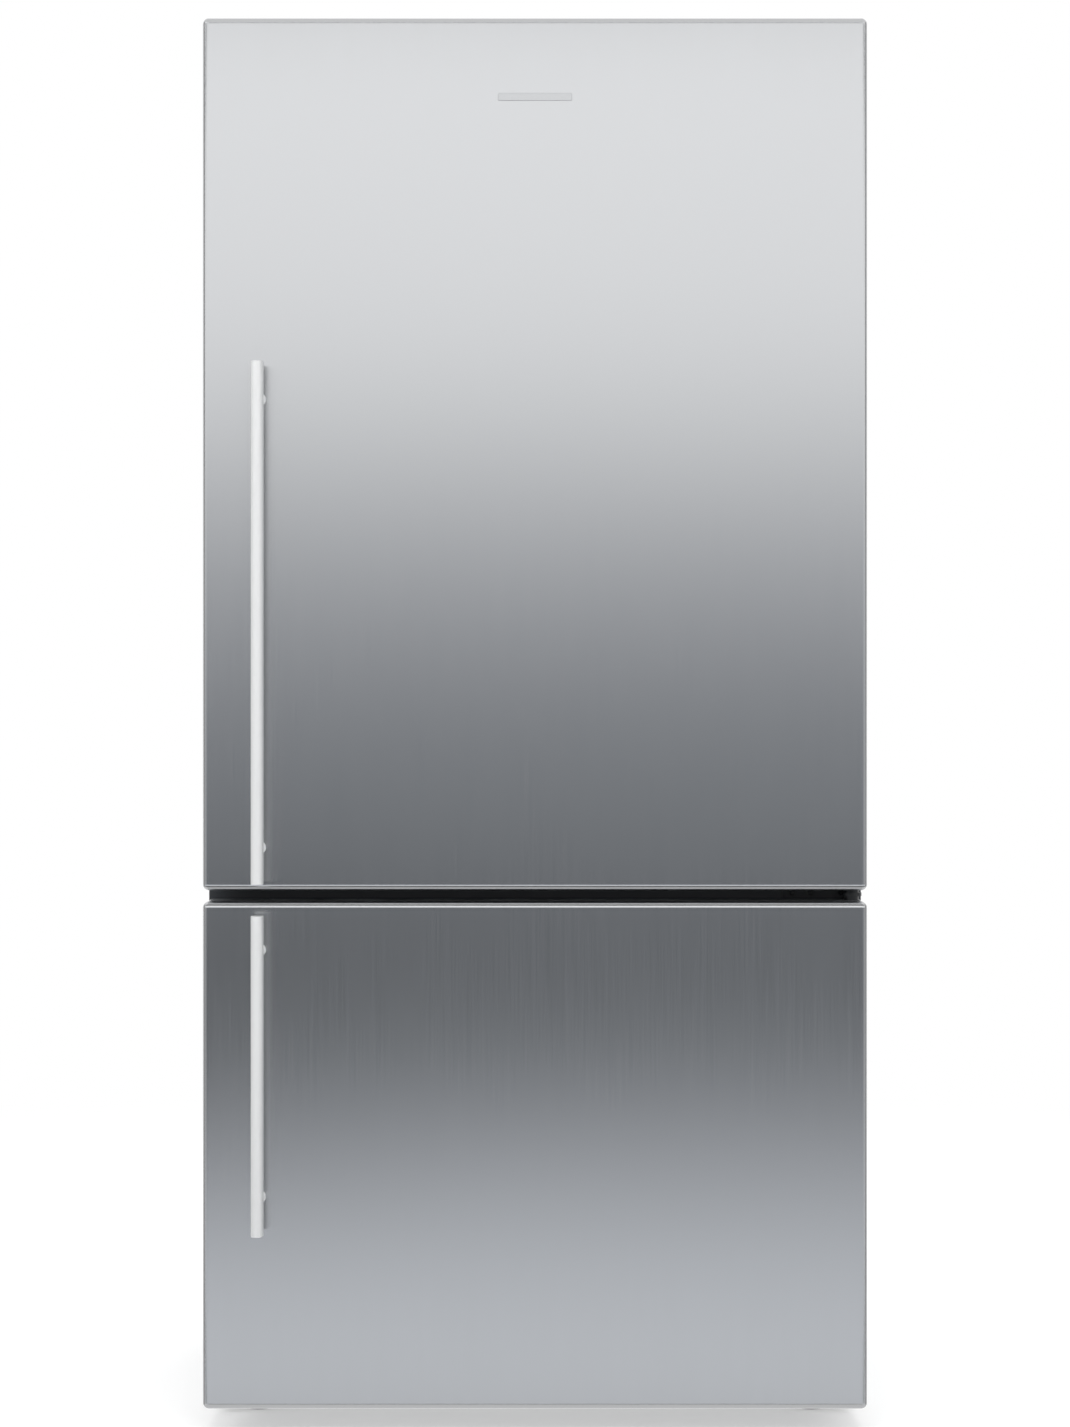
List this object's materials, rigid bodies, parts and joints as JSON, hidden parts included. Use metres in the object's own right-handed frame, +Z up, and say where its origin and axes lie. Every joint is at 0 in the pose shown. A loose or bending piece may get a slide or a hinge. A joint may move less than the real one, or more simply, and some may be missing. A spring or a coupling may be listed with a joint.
{
  "type": "double door refrigerator",
  "caption": "Free-standing stainless fridge-freezer: a tall hinged fridge door over a freezer door, with shelves, drawers, door bins and its cooling machinery.",
  "frame": {"origin": "on the floor, under the middle of the object's width and of its depth with the handles", "axes": "+Z up, the doors face -Y, +X to the right of someone facing the doors"},
  "size_m": [0.79, 0.739, 1.6975],
  "materials": {
    "stainless_steel": "brushed, vertical grain",
    "painted_steel": "satin grey paint",
    "zinc_steel": "zinc-plated sheet",
    "insulating_foam": "rigid foam",
    "liner_plastic": "moulded, white",
    "grey_plastic": "fine texture",
    "dark_plastic": "fine texture",
    "cap_plastic": "fine texture",
    "clear_plastic": "clear moulding",
    "shelf_glass": "toughened, polished",
    "seal_rubber": "matt grey",
    "black_rubber": "matt black",
    "fin_aluminium": "bare",
    "black_steel": "black enamel",
    "copper": "drawn tube",
    "slide_plastic": "moulded, pale blue"
  },
  "bodies": {
    "cabinet": {"cabinet_wrapper": "painted_steel", "back_panel": "zinc_steel", "cabinet_foam": "insulating_foam", "fridge_liner": "liner_plastic", "freezer_liner": "liner_plastic", "cross_rails": "painted_steel", "base_pan": "zinc_steel", "kick_plate": "dark_plastic", "top_hinge": "zinc_steel", "hinge_cover": "grey_plastic", "middle_hinge": "zinc_steel", "bottom_hinge": "zinc_steel", "air_duct": "liner_plastic", "light_lens": "liner_plastic", "control_console": "grey_plastic", "shelf_glass": "shelf_glass", "shelf_frames": "grey_plastic", "crisper_cover": "grey_plastic", "evaporator": "fin_aluminium", "evaporator_cover": "liner_plastic", "fan_motors": "dark_plastic", "compressor": "black_steel", "compressor_mounts": "black_rubber", "condenser": "black_steel", "fan_shroud": "dark_plastic", "drain_pan": "dark_plastic", "rear_cover": "painted_steel", "cable_gland": "black_rubber", "refrigerant_pipes": "copper"},
    "fridge_door": {"fridge_door_skin": "stainless_steel", "fridge_door_foam": "insulating_foam", "fridge_door_liner": "liner_plastic", "fridge_door_gasket": "seal_rubber", "fridge_door_caps": "cap_plastic", "fridge_handle": "stainless_steel", "dairy_bin": "clear_plastic", "door_bins": "clear_plastic", "bottle_bin": "clear_plastic"},
    "dairy_flap": {"dairy_flap": "clear_plastic"},
    "freezer_door": {"freezer_door_skin": "stainless_steel", "freezer_door_foam": "insulating_foam", "freezer_door_liner": "liner_plastic", "freezer_door_gasket": "seal_rubber", "freezer_door_caps": "cap_plastic", "freezer_handle": "stainless_steel"},
    "crisper_left": {"crisper_left": "clear_plastic"},
    "crisper_right": {"crisper_right": "clear_plastic"},
    "freezer_bin_top": {"freezer_bin_top": "clear_plastic"},
    "freezer_bin_middle": {"freezer_bin_middle": "clear_plastic"},
    "freezer_bin_bottom": {"freezer_bin_bottom": "clear_plastic"},
    "humidity_slide_left": {"humidity_slide_left": "slide_plastic"},
    "humidity_slide_right": {"humidity_slide_right": "slide_plastic"},
    "evaporator_fan": {"evaporator_fan": "dark_plastic"},
    "condenser_fan": {"condenser_fan": "dark_plastic"},
    "levelling_foot_left": {"levelling_foot_left": "dark_plastic"},
    "levelling_foot_right": {"levelling_foot_right": "dark_plastic"},
    "rear_roller_left": {"rear_roller_left": "dark_plastic"},
    "rear_roller_right": {"rear_roller_right": "dark_plastic"},
    "fridge_button": {"fridge_button": "liner_plastic"},
    "freezer_button": {"freezer_button": "liner_plastic"}
  },
  "joints": [
    {"name": "fridge_door_swing", "type": "hinge", "parent": "cabinet", "child": "fridge_door", "pos_m": [0.38, -0.2805, 1.165], "axis": [0, 0, 1], "range_deg": [0, 130]},
    {"name": "freezer_door_swing", "type": "hinge", "parent": "cabinet", "child": "freezer_door", "pos_m": [0.38, -0.2805, 0.3315], "axis": [0, 0, 1], "range_deg": [0, 130]},
    {"name": "dairy_flap_lift", "type": "hinge", "parent": "fridge_door", "child": "dairy_flap", "pos_m": [0, -0.1595, 1.558], "axis": [1, 0, 0], "range_deg": [0, 90]},
    {"name": "crisper_left_pull", "type": "slide", "parent": "cabinet", "child": "crisper_left", "axis": [0, -1, 0], "range_m": [0, 0.209]},
    {"name": "crisper_right_pull", "type": "slide", "parent": "cabinet", "child": "crisper_right", "axis": [0, -1, 0], "range_m": [0, 0.209]},
    {"name": "freezer_bin_top_pull", "type": "slide", "parent": "cabinet", "child": "freezer_bin_top", "axis": [0, -1, 0], "range_m": [0, 0.196]},
    {"name": "freezer_bin_middle_pull", "type": "slide", "parent": "cabinet", "child": "freezer_bin_middle", "axis": [0, -1, 0], "range_m": [0, 0.196]},
    {"name": "freezer_bin_bottom_pull", "type": "slide", "parent": "cabinet", "child": "freezer_bin_bottom", "axis": [0, -1, 0], "range_m": [0, 0.196]},
    {"name": "humidity_slide_left_set", "type": "slide", "parent": "cabinet", "child": "humidity_slide_left", "axis": [1, 0, 0], "range_m": [0, 0.04]},
    {"name": "humidity_slide_right_set", "type": "slide", "parent": "cabinet", "child": "humidity_slide_right", "axis": [1, 0, 0], "range_m": [0, 0.04]},
    {"name": "fridge_button_push", "type": "slide", "parent": "cabinet", "child": "fridge_button", "axis": [0, 1, 0], "range_m": [0, 0.001], "stiffness_N_per_m": 400},
    {"name": "freezer_button_push", "type": "slide", "parent": "cabinet", "child": "freezer_button", "axis": [0, 1, 0], "range_m": [0, 0.001], "stiffness_N_per_m": 400},
    {"name": "evaporator_fan_spin", "type": "hinge", "parent": "cabinet", "child": "evaporator_fan", "pos_m": [0, 0.242, 0.53425], "axis": [0, 1, 0], "continuous": true},
    {"name": "condenser_fan_spin", "type": "hinge", "parent": "cabinet", "child": "condenser_fan", "pos_m": [-0.103, 0.262, 0.1352], "axis": [1, 0, 0], "continuous": true},
    {"name": "levelling_foot_left_turn", "type": "hinge", "parent": "cabinet", "child": "levelling_foot_left", "pos_m": [-0.34, -0.1575, 0.02], "axis": [0, 0, 1], "continuous": true},
    {"name": "levelling_foot_right_turn", "type": "hinge", "parent": "cabinet", "child": "levelling_foot_right", "pos_m": [0.34, -0.1575, 0.02], "axis": [0, 0, 1], "continuous": true},
    {"name": "rear_roller_left_roll", "type": "hinge", "parent": "cabinet", "child": "rear_roller_left", "pos_m": [-0.33, 0.3075, 0.016], "axis": [1, 0, 0], "continuous": true},
    {"name": "rear_roller_right_roll", "type": "hinge", "parent": "cabinet", "child": "rear_roller_right", "pos_m": [0.33, 0.3075, 0.016], "axis": [1, 0, 0], "continuous": true}
  ],
  "couplings": [
    {"joint": "crisper_left_pull", "follows": "fridge_door_swing", "m_per_rad": 0.091673},
    {"joint": "crisper_right_pull", "follows": "fridge_door_swing", "m_per_rad": 0.091673},
    {"joint": "freezer_bin_top_pull", "follows": "freezer_door_swing", "m_per_rad": 0.085944},
    {"joint": "freezer_bin_middle_pull", "follows": "freezer_door_swing", "m_per_rad": 0.085944},
    {"joint": "freezer_bin_bottom_pull", "follows": "freezer_door_swing", "m_per_rad": 0.085944}
  ]
}
